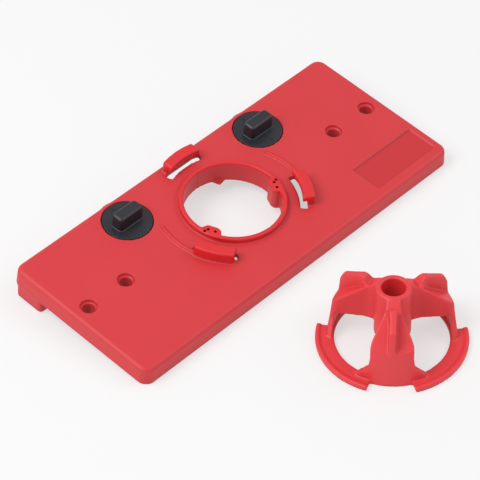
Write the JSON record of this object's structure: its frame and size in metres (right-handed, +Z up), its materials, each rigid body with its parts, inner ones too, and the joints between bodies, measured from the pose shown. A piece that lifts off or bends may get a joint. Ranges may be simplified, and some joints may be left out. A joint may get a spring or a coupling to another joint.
{
  "type": "hinge drilling jig",
  "caption": "Red plastic jig for boring cup hinge holes in doors: plate with fence, ring and two setting knobs, with its drill guide standing in front.",
  "frame": {"origin": "on the ring's axis, at the height of the plate's top face", "axes": "+Z up from the table that the jig lies on, +X along the plate, +Y level towards the fence; the plate leans on its fence, so its own normal is tipped from +Z towards -Y by 5.96 degrees"},
  "size_m": [0.223, 0.1959, 0.036],
  "materials": {
    "red_plastic": "moulded satin ABS",
    "black_plastic": "moulded satin",
    "steel": "zinc plated"
  },
  "bodies": {
    "base": {"base_plate": "red_plastic", "drill_guide": "red_plastic"},
    "left_setting": {"knob_left": "black_plastic", "cam_left": "black_plastic", "cam_washer_left": "steel", "cam_screw_left": "steel"},
    "right_setting": {"knob_right": "black_plastic", "cam_right": "black_plastic", "cam_washer_right": "steel", "cam_screw_right": "steel"}
  },
  "joints": [
    {"name": "left_knob_turn", "type": "hinge", "parent": "base", "child": "left_setting", "pos_m": [-0.0475, 0.02775, 0.0029], "axis": [0, -0.1038, 0.9946], "continuous": true},
    {"name": "right_knob_turn", "type": "hinge", "parent": "base", "child": "right_setting", "pos_m": [0.0475, 0.02775, 0.0029], "axis": [0, -0.1038, 0.9946], "continuous": true}
  ]
}
